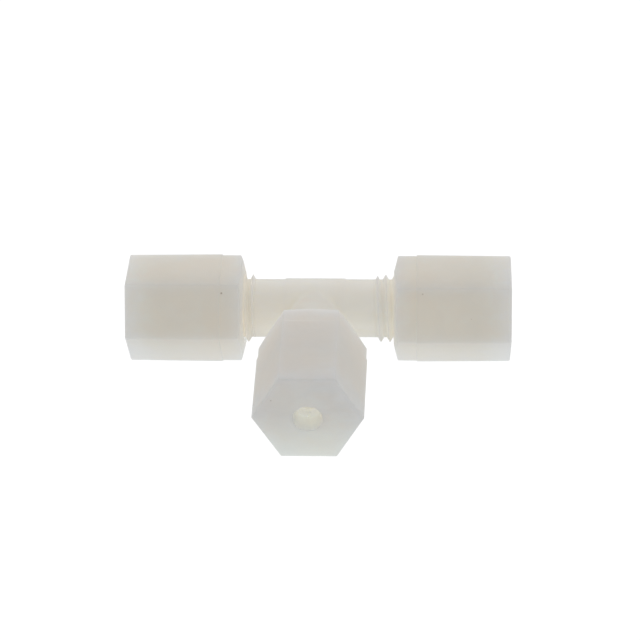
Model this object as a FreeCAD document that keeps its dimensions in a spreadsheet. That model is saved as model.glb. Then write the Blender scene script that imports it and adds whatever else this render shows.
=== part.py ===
import FreeCAD, Part
import Sketcher
import math
import os

# A union tee for three tubes of 1/8 in (3.175 mm) outside diameter, moulded in
# natural polypropylene: one tee body with three threaded legs, and on each leg a
# hex nut, a split gripper ring and a conical sleeve.
# Frame: origin where the run and branch axes cross, run along X, branch along -Y,
# +Z up, the fitting lying on a flat of its nuts.  Millimetres and degrees.
# The right leg points to +X, the left leg to -X.

V = FreeCAD.Vector
UP = V(0, 0, 1)
LEGS = {"right": V(1, 0, 0), "left": V(-1, 0, 0), "branch": V(0, -1, 0)}
LEG_AXIS = {"right": "H_Axis", "left": "H_Axis", "branch": "V_Axis"}
BRANCH_PROBE = V(0, -5, 0)  # on the branch axis, inside the flow bore
LEAST_CHANGE = 1e-6  # the smallest volume that counts as a cut
TOUCH = 1e-4  # slack when edges are picked by height

# alias, value
SIZES = [
    # the hex nut, 7/16 in across flats; z = 0 at its inner face, towards the crossing
    ("nut_flats", 11.11), ("nut_length", 13.28), ("nut_band", 2.20),
    ("nut_band_step", 0.09), ("nut_band_overlap", 0.50), ("nut_draft", 0.40),
    ("nut_edge", 0.25), ("nut_corner", 0.16), ("nut_inner_edge", 0.10),
    ("nut_lip", 0.50), ("nut_lip_radius", 4.42), ("nut_lip_foot", 6.35),
    ("nut_wall", 2.50), ("nut_bore_radius", 1.69), ("nut_entry_radius", 4.25),
    ("nut_minor_radius", 3.56), ("nut_major_radius", 4.12),
    ("nut_thread_turns", 8.0), ("nut_thread_start", 0.5637), ("nut_thread_end", 8.60),
    ("nut_cavity_step", 0.15), ("nut_cavity_radius", 3.30), ("nut_cavity_end", 9.10),
    ("nut_throat_radius", 2.35),
    # how far the nut's cutting outlines pass its inner end, outer end and bore wall
    ("nut_inner_clear", 0.40), ("nut_outer_clear", 0.50), ("nut_groove_clear", 0.20),
    # 5/16-24 thread
    ("thread_pitch", 1.0583), ("thread_radius", 4.00), ("thread_crest_half", 0.03),
    ("thread_slope", 0.57735), ("thread_gap", 0.11), ("thread_begin", 7.12),
    ("thread_fade", 0.30), ("thread_lead", 0.60), ("thread_travel", 11.0),
    ("thread_sink", 0.30),
    ("phase_right", 6.5813), ("phase_left", 5.9741), ("phase_branch", 5.7828),
    # the body
    ("barrel_radius", 3.44), ("barrel_extra", 1.0),
    ("collar_radius", 3.54), ("collar_half", 3.50), ("collar_fall", 0.12),
    ("leg_end", 16.20), ("pilot", 0.90), ("pilot_edge", 0.15),
    ("seat_radius", 2.65), ("seat_depth", 1.80),
    ("socket_radius", 1.62), ("socket_floor", 9.20), ("flow_radius", 1.00),
    # how far the body's cutting outlines pass the crests, the ridge feet, the thread's
    # start and the leg ends, and the flow bores the socket floors
    ("crest_clear", 0.60), ("foot_clear", 0.20), ("fade_reach", 2.60),
    ("mouth_reach", 2.60), ("flow_overlap", 0.20),
    # the sleeve and the gripper, measured from the nut's inner face
    ("sleeve_bore", 1.64), ("sleeve_nose", 6.97), ("sleeve_nose_radius", 1.78),
    ("sleeve_cone_radius", 2.627), ("sleeve_shoulder", 8.45), ("sleeve_radius", 3.15),
    ("sleeve_back", 9.05), ("sleeve_chamfer", 0.12),
    ("grip_front", 9.12), ("grip_back", 10.68), ("grip_radius", 3.04),
    ("grip_land", 9.35), ("grip_throat_radius", 2.286), ("grip_root_radius", 1.85),
    ("grip_tip_radius", 1.63), ("grip_tooth", 0.38), ("grip_first", 10.30),
    ("grip_tip_shift", 0.06),
    ("grip_slit", 0.50), ("grip_slit_depth", 14.0),
    ("grip_notch", 0.35), ("grip_notch_start", 9.75), ("grip_notch_depth", 2.0),
    ("grip_slot_inner", 0.50), ("grip_slot_outer", 4.0),
    # where each nut stands, unscrewed a little from tight
    ("stand_right", 9.820), ("stand_left", 8.850), ("stand_branch", 8.130),
    ("turn_right", 303.8), ("turn_left", 0.0), ("turn_branch", 0.0),
]
GRIP_TEETH = 3
GRIP_NOTCHES = 6
GRIP_SLIT_TURN = 30.0  # sets the slit midway between two notches


# ---------------------------------------------------------------- driving sizes
class Size:
    """A number together with the sheet expression that gives it."""

    def __init__(self, value, text):
        self.value, self.text = float(value), text

    def _join(self, other, sign, value):
        text = other.text if isinstance(other, Size) else repr(float(other))
        return Size(value, "(%s %s %s)" % (self.text, sign, text))

    def __add__(self, other):
        return self._join(other, "+", self.value + number(other))

    def __sub__(self, other):
        return self._join(other, "-", self.value - number(other))

    def __mul__(self, other):
        return self._join(other, "*", self.value * number(other))

    def __truediv__(self, other):
        return self._join(other, "/", self.value / number(other))

    def __neg__(self):
        return Size(-self.value, "(-1 * %s)" % self.text)


def number(size):
    return size.value if isinstance(size, Size) else float(size)


class Dims:
    """The sizes of the sheet, one attribute for each alias."""


doc = FreeCAD.newDocument("union_tee_fitting")
sheet = doc.addObject("Spreadsheet::Sheet", "dims")
sheet.Label = "dims"
dim = Dims()
for row, (alias, value) in enumerate(SIZES, 1):
    sheet.set("A%d" % row, alias)
    sheet.set("B%d" % row, "%.6g" % value)
    sheet.setAlias("B%d" % row, alias)
    setattr(dim, alias, Size(value, "dims." + alias))
doc.recompute()


def leg_size(stem, leg):
    return getattr(dim, stem + "_" + leg)


def bind(feature, prop, size):
    """Set a property and tie it to the sheet."""
    setattr(feature, prop, size.value)
    feature.setExpression(prop, size.text)


# ---------------------------------------------------------------- sketches
def new_body(label):
    body = doc.addObject("PartDesign::Body", label)
    body.Label = label
    body.AllowCompound = True
    return body


def new_sketch(body, name, role):
    """An empty sketch on one of the body's origin planes."""
    sketch = body.newObject("Sketcher::SketchObject", name)
    plane = next(item for item in body.Origin.OriginFeatures if item.Role == role)
    sketch.AttachmentSupport = [(plane, "")]
    sketch.MapMode = "FlatFace"
    return sketch


def dimension(sketch, label, size, *constraint):
    """Add a named constraint whose value follows the sheet."""
    index = sketch.addConstraint(Sketcher.Constraint(*constraint, size.value))
    sketch.renameConstraint(index, label)
    sketch.setExpression("Constraints." + label, size.text)


def closed_sketch(body, name, role, points, lift=0, turn=0.0):
    """A closed outline of straight lines; each coordinate is a Size, or 0 on an axis."""
    sketch = new_sketch(body, name, role)
    sketch.AttachmentOffset = FreeCAD.Placement(V(0, 0, number(lift)), FreeCAD.Rotation(UP, turn))
    if isinstance(lift, Size):
        sketch.setExpression("AttachmentOffset.Base.z", lift.text)
    corners = [V(number(x), number(y), 0) for x, y in points]
    count = len(corners)
    for i in range(count):
        sketch.addGeometry(Part.LineSegment(corners[i], corners[(i + 1) % count]), False)
    for i in range(count):
        sketch.addConstraint(Sketcher.Constraint("Coincident", i, 2, (i + 1) % count, 1))
    for i, (x, y) in enumerate(points):
        for kind, size, axis, tag in (("DistanceX", x, -2, "x"), ("DistanceY", y, -1, "y")):
            if abs(number(size)) < 1e-9:
                sketch.addConstraint(Sketcher.Constraint("PointOnObject", i, 1, axis))
            else:
                dimension(sketch, "%s%d" % (tag, i), size, kind, -1, 1, i, 1)
    return sketch


def circle_sketch(body, name, role, radius):
    sketch = new_sketch(body, name, role)
    sketch.addGeometry(Part.Circle(V(0, 0, 0), UP, radius.value), False)
    sketch.addConstraint(Sketcher.Constraint("Coincident", 0, 3, -1, 1))
    dimension(sketch, "radius", radius, "Radius", 0)
    return sketch


# ---------------------------------------------------------------- features
def require_cut(body, before, name):
    """Stop if a cut left the body's volume as it was."""
    if before - body.Shape.Volume <= LEAST_CHANGE:
        raise RuntimeError("%s removed nothing from %s" % (name, body.Label))


def revolve(body, kind, name, sketch, axis):
    feature = body.newObject("PartDesign::" + kind, name)
    feature.Profile = sketch
    feature.ReferenceAxis = (sketch, [axis])
    feature.Angle = 360.0
    doc.recompute()
    return feature


def add_turned(body, name, sketch, axis):
    """Add a full turn of a sketch about one of its own axes."""
    return revolve(body, "Revolution", name, sketch, axis)


def cut_turned(body, name, sketch, axis):
    """Cut a full turn of a sketch about one of its own axes."""
    before = body.Shape.Volume
    feature = revolve(body, "Groove", name, sketch, axis)
    require_cut(body, before, name)
    return feature


def helix(body, kind, name, sketch, axis, length, backwards):
    """A right-handed sweep of a sketch at the thread's pitch."""
    feature = body.newObject("PartDesign::" + kind, name)
    feature.Profile = sketch
    feature.ReferenceAxis = (sketch, [axis])
    feature.Mode = 0  # pitch, height and angle
    bind(feature, "Pitch", dim.thread_pitch)
    bind(feature, "Height", length)
    feature.Angle = 0
    feature.LeftHanded = False
    feature.Reversed = backwards
    doc.recompute()


def pad(body, name, sketch, length):
    feature = body.newObject("PartDesign::Pad", name)
    feature.Profile = sketch
    bind(feature, "Length", length)
    doc.recompute()
    return feature


def pocket(body, name, sketch, length, midplane=False, probe=None):
    """A pocket to both sides of its sketch, or to the one side that has to be cut."""
    before = body.Shape.Volume
    feature = body.newObject("PartDesign::Pocket", name)
    feature.Profile = sketch
    feature.Type = 0
    bind(feature, "Length", length)
    if midplane:
        feature.Midplane = True
        doc.recompute()
    else:
        feature.Reversed = True
        doc.recompute()
        # turn the pocket round if it left the probe in material, or cut nothing
        if probe:
            missed = body.Shape.isInside(probe, 1e-6, False)
        else:
            missed = abs(body.Shape.Volume - before) < LEAST_CHANGE
        if missed:
            feature.Reversed = False
            doc.recompute()
    require_cut(body, before, name)
    return feature


def rounded(body, name, base, radius, wanted):
    """A fillet on the edges of a feature that a test picks out."""
    edges = ["Edge%d" % i for i, edge in enumerate(base.Shape.Edges, 1) if wanted(edge)]
    feature = body.newObject("PartDesign::Fillet", name)
    feature.Base = (base, edges)
    bind(feature, "Radius", radius)
    doc.recompute()
    if feature.Shape.isNull() or not feature.Shape.isValid():
        raise RuntimeError(name + " failed")
    return feature


def thread_half_width(radius):
    """Half the width of the body's thread ridge at a radius."""
    return dim.thread_crest_half + (dim.thread_radius - radius) * dim.thread_slope


# ---------------------------------------------------------------- tee body
def along(leg, s, r):
    """A point s out along a leg and r off its axis, in the XY plane."""
    return {"right": (s, r), "left": (-s, r), "branch": (r, -s)}[leg]


def add_ridge(tee, leg):
    """A 60 degree thread ridge wound outwards round a leg, fading in over a short cone."""
    middle = leg_size("phase", leg)
    low = dim.barrel_radius - dim.thread_sink
    foot = thread_half_width(low)
    crest = dim.thread_crest_half
    # the outline lies on the -Y side of the run, and on the -X side of the branch
    outline = [along(leg, middle - foot, -low),
               along(leg, middle - crest, -dim.thread_radius),
               along(leg, middle + crest, -dim.thread_radius),
               along(leg, middle + foot, -low)]
    sketch = closed_sketch(tee, "ridge_outline_" + leg, "XY_Plane", outline)
    helix(tee, "AdditiveHelix", "ridge_" + leg, sketch, LEG_AXIS[leg],
          dim.thread_travel, leg != "right")

    rise = (dim.thread_radius - dim.barrel_radius) / dim.thread_fade
    under = low - dim.foot_clear
    over = dim.thread_radius + dim.crest_clear
    start = dim.thread_begin - dim.fade_reach
    outline = [along(leg, start, under),
               along(leg, dim.thread_begin - (dim.barrel_radius - under) / rise, under),
               along(leg, dim.thread_begin + (over - dim.barrel_radius) / rise, over),
               along(leg, start, over)]
    sketch = closed_sketch(tee, "fade_outline_" + leg, "XY_Plane", outline)
    cut_turned(tee, "fade_" + leg, sketch, LEG_AXIS[leg])


def add_barrels(tee):
    """The run with its collar and the branch, a little longer than the finished legs."""
    end = dim.leg_end + dim.barrel_extra
    radius, half = dim.barrel_radius, dim.collar_half
    outline = [(-end, 0), (-end, radius), (-half - dim.collar_fall, radius),
               (-half, dim.collar_radius), (half, dim.collar_radius),
               (half + dim.collar_fall, radius), (end, radius), (end, 0)]
    sketch = closed_sketch(tee, "run_outline", "XY_Plane", outline)
    add_turned(tee, "run_barrel", sketch, "H_Axis")
    outline = [(0, 0), (radius, 0), (radius, -end), (0, -end)]
    sketch = closed_sketch(tee, "branch_outline", "XY_Plane", outline)
    add_turned(tee, "branch_barrel", sketch, "V_Axis")


def cut_mouth(tee, leg):
    """Thread lead-in, plain pilot, conical seat for the sleeve, and tube socket."""
    end = dim.leg_end
    top = dim.thread_radius + dim.crest_clear
    pilot_radius = dim.thread_radius - dim.thread_lead
    outline = [along(leg, end - dim.pilot - dim.thread_lead - dim.crest_clear, top),
               along(leg, end - dim.pilot, pilot_radius),
               along(leg, end - dim.pilot_edge, pilot_radius),
               along(leg, end, pilot_radius - dim.pilot_edge),
               along(leg, end, dim.seat_radius),
               along(leg, end - dim.seat_depth, dim.socket_radius),
               along(leg, dim.socket_floor, dim.socket_radius),
               along(leg, dim.socket_floor, 0),
               along(leg, end + dim.mouth_reach, 0),
               along(leg, end + dim.mouth_reach, top)]
    sketch = closed_sketch(tee, "mouth_outline_" + leg, "XY_Plane", outline)
    cut_turned(tee, "mouth_" + leg, sketch, LEG_AXIS[leg])


def make_tee():
    tee = new_body("tee_body")
    for leg in LEGS:
        add_ridge(tee, leg)
    add_barrels(tee)
    for leg in LEGS:
        cut_mouth(tee, leg)
    # flow bores between the sockets
    reach = dim.socket_floor + dim.flow_overlap
    sketch = circle_sketch(tee, "run_bore_outline", "YZ_Plane", dim.flow_radius)
    pocket(tee, "run_bore", sketch, reach * 2.0, midplane=True)
    sketch = circle_sketch(tee, "branch_bore_outline", "XZ_Plane", dim.flow_radius)
    pocket(tee, "branch_bore", sketch, reach, probe=BRANCH_PROBE)
    return tee


# ---------------------------------------------------------------- nut
def hexagon(apothem):
    """Corners of a hexagon with flats across X."""
    half = apothem * math.tan(math.pi / 6)
    return [(apothem, half), (0, half * 2.0), (-apothem, half),
            (-apothem, -half), (0, -(half * 2.0)), (apothem, -half)]


def edge_heights(edge):
    return [vertex.Z for vertex in edge.Vertexes]


def is_upright(edge):
    heights = edge_heights(edge)
    return abs(heights[0] - heights[-1]) > 1.0


def add_drafted_hex(nut, leg):
    """The main hexagon, narrowing outwards, with rounded corners and outer rim."""
    sketch = closed_sketch(nut, "hex_outline_" + leg, "XY_Plane",
                           hexagon(dim.nut_flats / 2.0), dim.nut_band)
    main = pad(nut, "hex_" + leg, sketch, dim.nut_length - dim.nut_band)
    sides = []
    for i, face in enumerate(main.Shape.Faces, 1):
        if abs(face.normalAt(0, 0).z) < 0.5:
            sides.append("Face%d" % i)
        elif face.CenterOfMass.z < dim.nut_band.value + 0.1:
            neutral = "Face%d" % i
    draft = nut.newObject("PartDesign::Draft", "draft_" + leg)
    draft.Base = (main, sides)
    draft.NeutralPlane = (main, [neutral])
    bind(draft, "Angle", dim.nut_draft)
    draft.Reversed = False
    doc.recompute()
    # the draft has to take material away
    if draft.Shape.Volume > main.Shape.Volume:
        draft.Reversed = True
        doc.recompute()
    corners = rounded(nut, "corners_" + leg, draft, dim.nut_corner, is_upright)
    rounded(nut, "rim_" + leg, corners, dim.nut_edge,
            lambda edge: min(edge_heights(edge)) > dim.nut_length.value - TOUCH)


def add_band(nut, leg):
    """The slightly smaller hexagon at the inner end, its end face a shallow cone."""
    sketch = closed_sketch(nut, "band_outline_" + leg, "XY_Plane",
                           hexagon(dim.nut_flats / 2.0 - dim.nut_band_step), -dim.nut_lip)
    band = pad(nut, "band_" + leg, sketch, dim.nut_band + dim.nut_lip + dim.nut_band_overlap)
    rounded(nut, "band_corners_" + leg, band, dim.nut_corner,
            lambda edge: (is_upright(edge)
                          and max(edge_heights(edge)) < dim.nut_band.value + TOUCH))
    # the cone falls from a narrow rim round the thread's mouth to the corners
    below = -dim.nut_lip - dim.nut_inner_clear
    outline = [(dim.nut_lip_radius, below), (dim.nut_lip_radius, -dim.nut_lip),
               (dim.nut_lip_foot, 0), (dim.nut_lip_foot, below)]
    sketch = closed_sketch(nut, "cone_outline_" + leg, "XZ_Plane", outline)
    cone = cut_turned(nut, "cone_" + leg, sketch, "V_Axis")
    rounded(nut, "band_rim_" + leg, cone, dim.nut_inner_edge,
            lambda edge: (max(edge_heights(edge)) < TOUCH
                          and min(math.hypot(vertex.X, vertex.Y) for vertex in edge.Vertexes)
                          > dim.nut_lip_radius.value + 0.5))


def cut_cavity(nut, leg):
    """The stepped hole through the nut, from the thread's mouth to the tube bore."""
    below = -dim.nut_lip - dim.nut_inner_clear
    wall = dim.nut_length - dim.nut_wall
    above = dim.nut_length + dim.nut_outer_clear
    outline = [(0, below),
               (dim.nut_entry_radius, below),
               (dim.nut_entry_radius, 0),
               (dim.nut_minor_radius, dim.nut_entry_radius - dim.nut_minor_radius),
               (dim.nut_minor_radius, dim.nut_thread_end),
               (dim.nut_cavity_radius, dim.nut_thread_end + dim.nut_cavity_step),
               (dim.nut_cavity_radius, dim.nut_cavity_end),
               (dim.nut_throat_radius, wall),
               (dim.nut_bore_radius, wall),
               (dim.nut_bore_radius, above),
               (0, above)]
    sketch = closed_sketch(nut, "cavity_outline_" + leg, "XZ_Plane", outline)
    cut_turned(nut, "cavity_" + leg, sketch, "V_Axis")


def cut_thread(nut, leg):
    """The thread groove, wider than the body's ridge by a gap on each flank."""
    before = nut.Shape.Volume
    inner = dim.nut_minor_radius - dim.nut_groove_clear
    middle = dim.nut_thread_start - dim.thread_pitch
    tip = thread_half_width(dim.nut_major_radius) + dim.thread_gap
    foot = thread_half_width(inner) + dim.thread_gap
    outline = [(inner, middle - foot), (dim.nut_major_radius, middle - tip),
               (dim.nut_major_radius, middle + tip), (inner, middle + foot)]
    sketch = closed_sketch(nut, "groove_outline_" + leg, "XZ_Plane", outline)
    helix(nut, "SubtractiveHelix", "thread_" + leg, sketch, "V_Axis",
          dim.nut_thread_turns * dim.thread_pitch, False)
    require_cut(nut, before, "thread_" + leg)


def make_nut(leg):
    nut = new_body("nut_" + leg)
    add_drafted_hex(nut, leg)
    add_band(nut, leg)
    cut_cavity(nut, leg)
    cut_thread(nut, leg)
    return nut


# ---------------------------------------------------------------- gripper
def slot_sketch(body, name, width, lift=0, turn=0.0):
    """A radial slot across one side of the ring."""
    half = width / 2.0
    inner, outer = dim.grip_slot_inner, dim.grip_slot_outer
    return closed_sketch(body, name, "XY_Plane",
                         [(inner, -half), (outer, -half), (outer, half), (inner, half)],
                         lift, turn)


def make_gripper(leg):
    body = new_body("gripper_" + leg)
    root = dim.grip_root_radius
    outline = [(root, dim.grip_front), (dim.grip_radius, dim.grip_front),
               (dim.grip_radius, dim.grip_land), (dim.grip_throat_radius, dim.grip_back),
               (root, dim.grip_back)]
    # teeth that let a tube in and bite when it pulls out
    for i in range(GRIP_TEETH):
        height = dim.grip_first - dim.grip_tooth * i
        outline += [(dim.grip_tip_radius, height + dim.grip_tip_shift), (root, height)]
    sketch = closed_sketch(body, "gripper_outline_" + leg, "XZ_Plane", outline)
    add_turned(body, "gripper_ring_" + leg, sketch, "V_Axis")

    sketch = slot_sketch(body, "slit_outline_" + leg, dim.grip_slit, turn=GRIP_SLIT_TURN)
    pocket(body, "slit_" + leg, sketch, dim.grip_slit_depth)
    sketch = slot_sketch(body, "notch_outline_" + leg, dim.grip_notch, dim.grip_notch_start)
    notch = pocket(body, "notch_" + leg, sketch, dim.grip_notch_depth)
    before = body.Shape.Volume
    ring = body.newObject("PartDesign::PolarPattern", "notches_" + leg)
    ring.Originals = [notch]
    ring.Axis = (sketch, ["N_Axis"])
    ring.Angle = 360
    ring.Occurrences = GRIP_NOTCHES
    body.Tip = ring
    doc.recompute()
    require_cut(body, before, "notches_" + leg)
    return body


# ---------------------------------------------------------------- sleeve
def make_sleeve(leg):
    body = new_body("sleeve_" + leg)
    chamfer = dim.sleeve_chamfer
    outline = [(dim.sleeve_bore, dim.sleeve_nose),
               (dim.sleeve_nose_radius, dim.sleeve_nose),
               (dim.sleeve_cone_radius, dim.sleeve_shoulder),
               (dim.sleeve_radius - chamfer, dim.sleeve_shoulder),
               (dim.sleeve_radius, dim.sleeve_shoulder + chamfer),
               (dim.sleeve_radius, dim.sleeve_back - chamfer),
               (dim.sleeve_radius - chamfer, dim.sleeve_back),
               (dim.sleeve_bore, dim.sleeve_back)]
    sketch = closed_sketch(body, "sleeve_outline_" + leg, "XZ_Plane", outline)
    add_turned(body, "sleeve_ring_" + leg, sketch, "V_Axis")
    return body


# ---------------------------------------------------------------- assembly
def port(leg):
    """Local Z runs out along the leg, local X is up, and the turn is about local Z."""
    out = LEGS[leg]
    side = out.cross(UP)
    base = FreeCAD.Placement(FreeCAD.Matrix(UP.x, side.x, out.x, 0,
                                            UP.y, side.y, out.y, 0,
                                            UP.z, side.z, out.z, 0,
                                            0, 0, 0, 1))
    stand, turn = leg_size("stand", leg).value, leg_size("turn", leg).value
    return base.multiply(FreeCAD.Placement(V(0, 0, stand), FreeCAD.Rotation(UP, turn)))


bodies = [make_tee()]
for leg in LEGS:
    for make in (make_nut, make_gripper, make_sleeve):
        body = make(leg)
        body.Placement = port(leg)
        bodies.append(body)
doc.recompute()

bad = [item.Name for item in doc.Objects if "Invalid" in item.State or "Error" in item.State]
if bad:
    raise RuntimeError("failed objects: " + ", ".join(bad))
for body in bodies:
    shape = body.Shape
    if shape.isNull() or not shape.isValid() or len(shape.Solids) != 1:
        raise RuntimeError("%s is not one valid solid" % body.Label)

os.makedirs("parts", exist_ok=True)
for body in bodies:
    body.Shape.exportStep(os.path.join("parts", body.Label + ".step"))
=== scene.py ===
# A moulded plastic tee fitting on a pale floor: a body, and on each leg a nut, a gripper and a sleeve.
# The run lies along X, left leg at -X and right leg at +X. The branch points to -Y, towards the
# viewer. +Z is up, and the origin is where the barrels cross.
import math
from functools import cached_property
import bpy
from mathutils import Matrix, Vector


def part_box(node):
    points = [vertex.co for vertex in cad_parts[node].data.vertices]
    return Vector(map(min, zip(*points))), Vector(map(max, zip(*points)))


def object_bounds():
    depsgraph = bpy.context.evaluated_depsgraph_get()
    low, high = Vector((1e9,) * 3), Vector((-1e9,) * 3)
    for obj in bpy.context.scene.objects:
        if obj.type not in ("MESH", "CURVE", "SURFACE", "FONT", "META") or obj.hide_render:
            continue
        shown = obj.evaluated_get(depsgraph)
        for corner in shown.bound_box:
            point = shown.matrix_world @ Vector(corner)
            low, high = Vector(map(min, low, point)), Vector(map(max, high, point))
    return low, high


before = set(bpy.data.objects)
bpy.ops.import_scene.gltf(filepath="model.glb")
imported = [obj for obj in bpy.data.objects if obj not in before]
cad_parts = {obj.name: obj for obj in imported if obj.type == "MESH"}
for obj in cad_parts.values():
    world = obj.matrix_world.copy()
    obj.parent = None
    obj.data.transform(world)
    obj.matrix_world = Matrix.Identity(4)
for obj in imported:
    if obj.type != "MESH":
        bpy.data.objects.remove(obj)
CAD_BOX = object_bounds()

from types import SimpleNamespace

import bpy
from mathutils import Matrix, Vector

scene = bpy.context.scene
MM = 0.001


class Nodes:
    """A short way to write the node tree of a material or world. Inputs take sockets or values."""

    def __init__(self, owner):
        owner.use_nodes = True
        self.tree = owner.node_tree
        self.tree.nodes.clear()
        self.x = -1800

    def feed(self, socket, value):
        if isinstance(value, bpy.types.NodeSocket):
            self.tree.links.new(value, socket)
        elif socket.type == "RGBA":
            socket.default_value = (*value, 1.0)
        else:
            socket.default_value = value

    def add(self, kind, inputs=None, **settings):
        node = self.tree.nodes.new(kind)
        self.x += 60
        node.location = (self.x, 0)
        for key, value in settings.items():
            setattr(node, key, value)
        for key, value in (inputs or {}).items():
            self.feed(node.inputs[key], value)
        return node

    def math(self, op, *values, clamp=False):
        node = self.add("ShaderNodeMath", dict(enumerate(values)), operation=op, use_clamp=clamp)
        return node.outputs[0]

    def vector(self, op, first, second, output=0):
        return self.add("ShaderNodeVectorMath", {0: first, 1: second}, operation=op).outputs[output]

    def scaled(self, vector, factor):
        node = self.add("ShaderNodeVectorMath", {0: vector, "Scale": factor}, operation="SCALE")
        return node.outputs[0]

    def split(self, vector):
        return self.add("ShaderNodeSeparateXYZ", {0: vector}).outputs

    def span(self, value, over, to=(0.0, 1.0), smooth=True):
        """Carry one range onto another, held at both ends."""
        inputs = {"Value": value, "From Min": over[0], "From Max": over[1],
                  "To Min": to[0], "To Max": to[1]}
        kind = "SMOOTHSTEP" if smooth else "LINEAR"
        node = self.add("ShaderNodeMapRange", inputs, interpolation_type=kind, clamp=True)
        return node.outputs["Result"]

    def noise(self, where, scale, detail=3.0, rough=0.5, distort=0.0):
        return self.add("ShaderNodeTexNoise", {"Vector": where, "Scale": scale, "Detail": detail,
                                               "Roughness": rough, "Distortion": distort}).outputs[0]

    def mix(self, factor, first, second, blend="MIX"):
        # 0, 6 and 7 are the colour mix's sockets, and 2 is its output
        return self.add("ShaderNodeMix", {0: factor, 6: first, 7: second},
                        data_type="RGBA", blend_type=blend).outputs[2]

    def seen_or_felt(self, output, seen, felt):
        """Send out one shader for what the camera sees and another for the light it gives."""
        path = self.add("ShaderNodeLightPath")
        chosen = self.add("ShaderNodeMixShader", {0: path.outputs["Is Camera Ray"],
                                                  1: felt.outputs[0], 2: seen.outputs[0]})
        self.add(output, {"Surface": chosen.outputs[0]})


class PlasticNodes(Nodes):
    """A plastic's tree, with its places and directions, each made when first asked for."""

    def __init__(self, material, seed):
        super().__init__(material)
        place = self.add("ShaderNodeTexCoord").outputs["Object"]
        self.mm = self.scaled(place, 1 / MM)
        self.seeded = self.vector("ADD", self.mm, (seed * 3.7, seed * 1.9, seed * 5.3))

    @cached_property
    def local(self):
        """The place in the object, in mm, as x, y, z."""
        return self.split(self.mm)

    @cached_property
    def geometry(self):
        return self.add("ShaderNodeNewGeometry").outputs

    @cached_property
    def world(self):
        """The place in the scene, in metres, as x, y, z."""
        return self.split(self.geometry["Position"])

    @cached_property
    def facing(self):
        return self.split(self.geometry["Normal"])


# ------------------------------------------------------------------ the plastic
CORE_LENGTH = 13.28           # mm of a nut that are shaded, back from its outer end
BORE_RADIUS = 1.85            # mm, inside which a nut glows less
TEE_ARRIS_ROUND = 1.2         # mm, where the tee's barrels meet
HAZE_COLOUR = (0.55, 0.50, 0.44)
GRAIN_COLOUR = (0.34, 0.27, 0.22)
# arrises drawn lighter: partly rubbed wear, partly a painted highlight of light coming through the
# thin edges
WORN_AND_LIT_COLOUR = (0.985, 0.980, 0.965)
# Glow over the tee: (from, to) in mm, and the glow's factor at each
TEE_REACH = ((6.6, 7.6), (1.0, 0.64))           # out along any barrel
TEE_BRANCH = ((-0.6, 1.8), (1.0, 0.58))         # branch rather than run
TEE_BRANCH_END = ((7.4, 8.4), (1.0, 1.6))
TEE_HEIGHT = ((-3.0, -0.3), (0.62, 1.0))
TEE_LEFT_END = ((-8.8, -8.2), (0.7, 1.0))


def shade(colour, *factors):
    return tuple(c * factor for c, factor in zip(colour, factors))


def melt_colour(t, colour, cloud):
    """Cloudy melt colour, with flow streaks drawn out along X."""
    clouds = t.span(t.noise(t.seeded, scale=0.16, detail=2.0, rough=0.45, distort=0.4),
                    over=(0.32, 0.68), to=(0.5 - 0.5 * cloud, 0.5 + 0.5 * cloud))
    warm, cool = shade(colour, 1.012, 0.985, 0.955), shade(colour, 0.982, 1.004, 1.012)
    tint = t.mix(clouds, warm, cool)
    milk = t.span(t.noise(t.seeded, scale=0.42, rough=0.55, distort=0.8),
                  over=(0.30, 0.72), to=(1.0 - 0.035 * cloud, 1.0 + 0.012 * cloud))
    grey = t.add("ShaderNodeCombineColor", dict.fromkeys(range(3), milk)).outputs[0]
    tint = t.mix(1.0, tint, grey, "MULTIPLY")
    drawn_out = t.add("ShaderNodeMapping", {"Vector": t.seeded, "Scale": (0.35, 1.6, 1.6)})
    streaks = t.span(t.noise(drawn_out.outputs[0], scale=0.55, detail=4.0, rough=0.6, distort=1.2),
                     over=(0.42, 0.70), to=(0.0, 0.35))
    return t.mix(streaks, tint, shade(colour, 0.965, 0.955, 0.925))


def core_at(nut, fraction):
    """A place along a nut, in mm: 0 at the core's inner end, 1 at the outer end."""
    return nut.start + fraction * CORE_LENGTH


def painted_core_shade(t, nut, tint, colour, along, outer):
    """Painted shade: a darker, warmer wall over the hidden parts of a nut, where less light comes
    through.
    """
    inside = t.math("MULTIPLY", t.span(along, over=(core_at(nut, -0.08), core_at(nut, 0.20))),
                    t.math("SUBTRACT", 1.0, outer))
    return t.mix(t.math("MULTIPLY", inside, 0.55), tint, shade(colour, 0.955, 0.925, 0.870))


def marks(t, tint, specks):
    """Small faint dots all over, and the odd dark grain."""
    cells = t.add("ShaderNodeTexVoronoi", {"Vector": t.seeded, "Scale": 0.30})
    dots = t.span(cells.outputs["Distance"], over=(0.012, 0.030), to=(0.22, 0.0))
    tint = t.mix(dots, tint, HAZE_COLOUR)
    for x, y, z, radius, dark in specks:
        away = t.vector("DISTANCE", t.mm, (x, y, z), output="Value")
        tint = t.mix(t.span(away, over=(0.2 * radius, radius), to=(dark, 0.0)), tint, GRAIN_COLOUR)
    return tint


def tool_marks(t, seed):
    """The height of tool grain, moulded ripple and drawn scratches, and the scratches' mask."""
    fine = t.noise(t.seeded, scale=9.0, detail=4.0, rough=0.62)
    ripple = t.noise(t.seeded, scale=0.75, detail=2.0, distort=0.3)
    drawn = t.add("ShaderNodeMapping", {"Vector": t.seeded, "Scale": (0.5, 9.0, 9.0),
                                        "Rotation": (0.2, 0.35, 0.55 + seed)})
    lines = t.span(t.noise(drawn.outputs[0], scale=1.3, rough=0.7), over=(0.64, 0.72))
    height = t.math("ADD", t.math("MULTIPLY", fine, 0.55), t.math("MULTIPLY", ripple, 2.6))
    return t.math("SUBTRACT", height, t.math("MULTIPLY", lines, 0.18)), lines


def rounded(t, radius, samples):
    return t.add("ShaderNodeBevel", {"Radius": radius * MM}, samples=samples).outputs[0]


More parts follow.
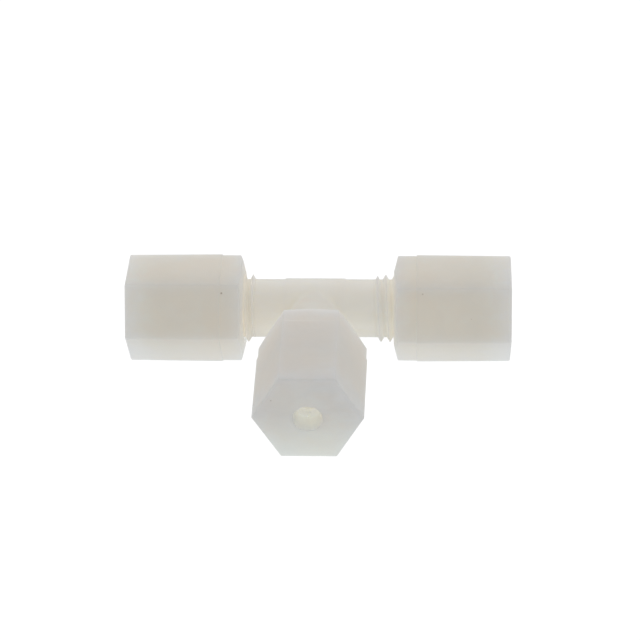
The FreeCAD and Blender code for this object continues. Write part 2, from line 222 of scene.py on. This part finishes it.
def crossing_normal(t, soft):
    """A wider round near the middle of the run, where the tee's barrels meet."""
    wide = rounded(t, TEE_ARRIS_ROUND, samples=10)
    near = t.span(t.math("ABSOLUTE", t.world[0]), over=(4.2 * MM, 5.4 * MM), to=(1.0, 0.0))
    # 0, 4 and 5 are the vector mix's sockets, and 1 is its output
    return t.add("ShaderNodeMix", {0: near, 4: soft, 5: wide}, data_type="VECTOR").outputs[1]


def worn_and_lit_arrises(t, soft):
    """A patchy mask of the arrises, found where the rounded normal leaves the true one. It stands for
    rubbed wear and also for a painted highlight on the edges.
    """
    bend = t.vector("DOT_PRODUCT", soft, t.geometry["Normal"], output="Value")
    return t.math("MULTIPLY", t.span(bend, over=(0.87, 0.995), to=(1.0, 0.0)),
                  t.span(t.noise(t.seeded, scale=1.3, rough=0.6), over=(0.35, 0.65), to=(0.25, 1.0)))


def satin(t, rough, lines, worn_and_lit):
    """Uneven roughness, duller on scratches and arrises."""
    sheen = t.span(t.noise(t.seeded, scale=2.2, rough=0.6),
                   over=(0.3, 0.7), to=(rough - 0.05, rough + 0.06))
    sheen = t.math("ADD", sheen, t.math("MULTIPLY", lines, 0.06))
    return t.math("ADD", sheen, t.math("MULTIPLY", worn_and_lit, 0.10), clamp=True)


def nut_light(t, nut, through, along, outer, reach):
    """Shape the glow over a nut."""
    bore = t.span(reach, over=(BORE_RADIUS, BORE_RADIUS + 0.25), to=(0.70, 1.0))
    through = t.math("MULTIPLY", through, bore)
    # the inner end looks away from the light
    inward = t.math("MULTIPLY", t.facing[nut.axis], -nut.sign)
    through = t.math("MULTIPLY", through, t.span(inward, over=(0.3, 0.8), to=(1.0, 0.70)))
    if nut.top:
        through = t.math("SUBTRACT", through,
                         t.span(t.facing[2], over=(0.70, 0.97), to=(0.0, nut.top)))
    if nut.outer_end:
        through = t.math("ADD", through, t.math("MULTIPLY", outer, nut.outer_end))
    if nut.inner_end:
        fade = t.span(along, over=(nut.start, core_at(nut, 0.55)), to=(nut.inner_end, 0.0))
        through = t.math("ADD", through, fade)
    return through


def tee_light(t, through):
    """Even out the glow over the tee's barrels."""
    side, down = t.math("ABSOLUTE", t.local[0]), t.math("MULTIPLY", t.local[1], -1.0)
    for value, (over, to) in ((t.math("MAXIMUM", side, down), TEE_REACH),
                              (t.math("SUBTRACT", down, side), TEE_BRANCH),
                              (down, TEE_BRANCH_END),
                              (t.local[2], TEE_HEIGHT),
                              (t.local[0], TEE_LEFT_END)):
        through = t.math("MULTIPLY", through, t.span(value, over, to))
    return through


def plastic(name, colour, seed, glow, cloud=0.5, depth=(2.8, 2.7, 2.6), rough=0.42, round_mm=0.12,
            back=0.0, under=(0.0, 0.0, 0.0), specks=(), nut=None, tee=False, slots=0.0):
    """Natural moulded plastic: milky, lit from inside, with a satin sheen.

    glow, back and under are the light that comes through: everywhere, from behind, and up from
    the floor. depth is how far light travels, in mm, for each colour. specks are dark grains:
    (x, y, z, radius, darkness), in mm. slots is the width, in mm, of slots that glow less.
    """
    material = bpy.data.materials.new(name)
    t = PlasticNodes(material, seed)

    tint = melt_colour(t, colour, cloud)
    if nut:
        along = t.math("MULTIPLY", t.local[nut.axis], nut.sign)
        outer = t.span(along, over=(core_at(nut, 0.66), core_at(nut, 1.0)))
        # painted shade: the middle of the nut, over the hidden parts, is drawn darker and warmer
        tint = painted_core_shade(t, nut, tint, colour, along, outer)
    tint = marks(t, tint, specks)

    height, lines = tool_marks(t, seed)
    soft = rounded(t, round_mm, samples=6)
    normal = crossing_normal(t, soft) if tee else soft
    bump = t.add("ShaderNodeBump", {"Height": height, "Strength": 0.30, "Distance": 0.035 * MM,
                                    "Normal": normal})
    worn_and_lit = worn_and_lit_arrises(t, soft)
    # painted highlight and wear: the arrises are drawn lighter, partly as rubbed wear and partly as
    # painted highlight, which also lifts their glow
    tint = t.mix(t.math("MULTIPLY", worn_and_lit, 0.45), tint, WORN_AND_LIT_COLOUR)
    sheen = satin(t, rough, lines, worn_and_lit)

    # light that has come through the plastic, which also fills the bores
    behind = t.span(t.world[1], over=(-3.4 * MM, 3.4 * MM), to=(0.0, back), smooth=False)
    through = t.math("ADD", behind, glow)
    # an outer face turned to the back light shows its own light, not what comes through
    turned = 0.0
    if tee or nut:
        turned = t.span(t.facing[1], over=(0.15, 0.75), to=(0.0, 0.88))
    if nut:
        squares = [t.math("MULTIPLY", t.local[i], t.local[i]) for i in range(3) if i != nut.axis]
        reach = t.math("SQRT", t.math("ADD", *squares))
        through = nut_light(t, nut, through, along, outer, reach)
        turned = t.math("MULTIPLY", turned, t.span(reach, over=(4.25, 4.35)))
    if slots:
        open_air = t.add("ShaderNodeAmbientOcclusion", {"Distance": slots * MM},
                         samples=6, only_local=True).outputs["AO"]
        through = t.math("MULTIPLY", through, t.span(open_air, over=(0.25, 0.85), to=(0.45, 1.0)))
    if tee:
        through = tee_light(t, through)
    kept = t.math("SUBTRACT", 1.0, turned)
    lit = t.scaled(tint, t.math("MULTIPLY", through, kept))
    low = t.span(t.world[2], over=(-5.0 * MM, 1.5 * MM), to=(1.0, 0.0))
    from_floor = t.scaled(under, t.math("MULTIPLY", low, kept))

    skin = t.add("ShaderNodeBsdfPrincipled", {
        "Base Color": tint, "Roughness": sheen, "Normal": bump.outputs[0],
        "IOR": 1.49, "Specular IOR Level": 0.42,
        "Subsurface Weight": 1.0, "Subsurface Radius": depth, "Subsurface Scale": MM,
        "Subsurface Anisotropy": 0.0,
        "Emission Color": t.vector("ADD", lit, from_floor), "Emission Strength": 1.0,
    }, subsurface_method="RANDOM_WALK")
    t.add("ShaderNodeOutputMaterial", {"Surface": skin.outputs[0]})
    return material


# ------------------------------------------------------------------ the pieces
# What the two side nuts share, and what the branch nut has. top is glow taken off what faces up,
# and outer_end and inner_end are glow added at the nut's ends.
SIDE_LOOK = dict(colour=(0.945, 0.925, 0.885), back=0.070, under=(0.047, 0.060, 0.080))
SIDE_SHAPING = dict(top=0.045, outer_end=0.034, inner_end=0.0)
# The branch nut is the same plastic as the side nuts, drawn a little darker and cooler as painted
# shade: it lies nearest the viewer and furthest from the back light.
BRANCH_SHADED_LOOK = dict(colour=(0.936, 0.920, 0.903), under=(0.088, 0.110, 0.098))
BRANCH_SHAPING = dict(top=0.0, outer_end=0.0, inner_end=0.032)
# Dark grains of each nut: x, y, z, radius in mm, and darkness
LEFT_GRAINS = ((-10.752, -3.635, 4.633, 0.17, 0.60), (-19.9, -4.9, 2.6, 0.10, 0.25),
               (-13.1, -1.2, 5.49, 0.09, 0.25))
RIGHT_GRAINS = ((12.732, -3.855, 4.737, 0.15, 0.32), (18.4, -5.1, 2.1, 0.10, 0.25))
BRANCH_GRAINS = ((-4.032, -21.41, 2.503, 0.14, 0.34), (2.7, -13.6, 5.45, 0.09, 0.25))
# Leg, its axis index and sign, nut glow, grains, look, shaping
LEGS = (
    ("left", 0, -1.0, 0.091, LEFT_GRAINS, SIDE_LOOK, SIDE_SHAPING),
    ("right", 0, 1.0, 0.0875, RIGHT_GRAINS, SIDE_LOOK, SIDE_SHAPING),
    ("branch", 1, -1.0, 0.0625, BRANCH_GRAINS, BRANCH_SHADED_LOOK, BRANCH_SHAPING),
)


def wear(node, material):
    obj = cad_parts[node]
    obj.data.materials.clear()
    obj.data.materials.append(material)


wear("tee_body", plastic("tee_plastic", (0.925, 0.908, 0.862), seed=0.3, glow=0.152, tee=True))
for number, (leg, axis, sign, glow, grains, look, shaping) in enumerate(LEGS):
    outer_place = max(sign * corner[axis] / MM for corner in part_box("nut_" + leg))
    nut = SimpleNamespace(axis=axis, sign=sign, start=outer_place - CORE_LENGTH, **shaping)
    wear("nut_" + leg,
         plastic("nut_plastic_" + leg, seed=1.0 + number, glow=glow, cloud=1.0, specks=grains,
                 nut=nut, **look))
    wear("gripper_" + leg,
         plastic("gripper_plastic_" + leg, (0.885, 0.892, 0.892), seed=4.0 + number, glow=0.122,
                 cloud=0.4, depth=(1.5, 1.5, 1.3), rough=0.35, round_mm=0.04, slots=0.6))
    wear("sleeve_" + leg,
         plastic("sleeve_plastic_" + leg, (0.91, 0.905, 0.885), seed=7.0 + number, glow=0.070,
                 depth=(3.0, 2.8, 2.4), rough=0.40, round_mm=0.06))

# ------------------------------------------------------------------ floor and light
FLOOR_HALF = 1.6
FLOOR_GAP = 0.02 * MM         # below the lowest piece
FLOOR_GLOW = 0.43             # light the floor gives
ROOF_LEVEL = 0.99             # sky overhead, as a share of the horizon's
FRONT_SKY, BACK_SKY = 0.34, 0.50
SEEN_WHITE = {"Color": (1.0, 1.0, 1.0), "Strength": 1.08}  # what the camera sees of floor and sky


def make_floor():
    z = CAD_BOX[0][2] - FLOOR_GAP
    corners = [(x * FLOOR_HALF, y * FLOOR_HALF, z) for x, y in ((-1, -1), (1, -1), (1, 1), (-1, 1))]
    mesh = bpy.data.meshes.new("floor")
    mesh.from_pydata(corners, [], [(0, 1, 2, 3)])
    floor = bpy.data.objects.new("floor", mesh)
    scene.collection.objects.link(floor)
    material = bpy.data.materials.new("pale_floor")
    t = Nodes(material)
    white = t.add("ShaderNodeEmission", SEEN_WHITE)
    paper = t.add("ShaderNodeBsdfDiffuse", {"Color": (0.30, 0.30, 0.30)})
    glow = t.add("ShaderNodeEmission", {"Color": (0.985, 1.0, 0.992), "Strength": FLOOR_GLOW})
    both = t.add("ShaderNodeAddShader", {0: paper.outputs[0], 1: glow.outputs[0]})
    t.seen_or_felt("ShaderNodeOutputMaterial", seen=white, felt=both)
    mesh.materials.append(material)


def make_sky():
    """A sky that falls off towards the viewer's side."""
    world = bpy.data.worlds.new("soft_box")
    scene.world = world
    t = Nodes(world)
    direction = t.split(t.add("ShaderNodeTexCoord").outputs["Generated"])
    roof = t.span(direction[2], over=(0.15, 0.98), to=(1.0, ROOF_LEVEL))
    front = t.span(direction[1], over=(-0.90, 0.30), to=(FRONT_SKY, BACK_SKY))
    sky = t.add("ShaderNodeBackground", {"Color": (1.0, 0.995, 0.995),
                                         "Strength": t.math("MULTIPLY", roof, front)})
    white = t.add("ShaderNodeBackground", SEEN_WHITE)
    t.seen_or_felt("ShaderNodeOutputWorld", seen=white, felt=sky)


def make_back_panel():
    """A broad panel close behind, so that what lies nearer the viewer is a little darker."""
    light = bpy.data.lights.new("back_panel", "AREA")
    light.shape = "RECTANGLE"
    light.size, light.size_y = 0.22, 0.09
    light.energy = 0.022
    light.color = (1.0, 0.995, 0.995)
    panel = bpy.data.objects.new("back_panel", light)
    scene.collection.objects.link(panel)
    place = Vector((0.0, 0.085, 0.060))
    panel.location = place
    panel.rotation_euler = (-place).to_track_quat("-Z", "Y").to_euler()
    panel.visible_camera = False


make_floor()
make_sky()
make_back_panel()
scene.cycles.max_bounces = 24
scene.cycles.diffuse_bounces = 16

# ------------------------------------------------------------------ camera
AZIMUTH, ELEVATION, ROLL = (math.radians(angle) for angle in (3.408, 35.138, -1.759))
DISTANCE = 282.2 * MM         # from the origin


def make_camera():
    back = Vector((math.sin(AZIMUTH) * math.cos(ELEVATION),
                   -math.cos(AZIMUTH) * math.cos(ELEVATION), math.sin(ELEVATION)))
    right = Vector((math.cos(AZIMUTH), math.sin(AZIMUTH), 0))
    up = back.cross(right)
    across = right * math.cos(ROLL) + up * math.sin(ROLL)
    above = -right * math.sin(ROLL) + up * math.cos(ROLL)
    data = bpy.data.cameras.new("camera")
    camera = bpy.data.objects.new("camera", data)
    scene.collection.objects.link(camera)
    columns = (across, above, back, back * DISTANCE)
    camera.matrix_world = Matrix((*zip(*columns), (0, 0, 0, 1)))
    data.sensor_width = 36.0
    data.lens = 133.5375
    data.shift_x = 0.006859375
    data.shift_y = -0.0185453125
    data.clip_start, data.clip_end = 0.005, 20.0
    scene.camera = camera


make_camera()
scene.view_settings.view_transform = "Standard"
scene.view_settings.look = "None"
scene.view_settings.exposure = 0.0
scene.view_settings.gamma = 1.0
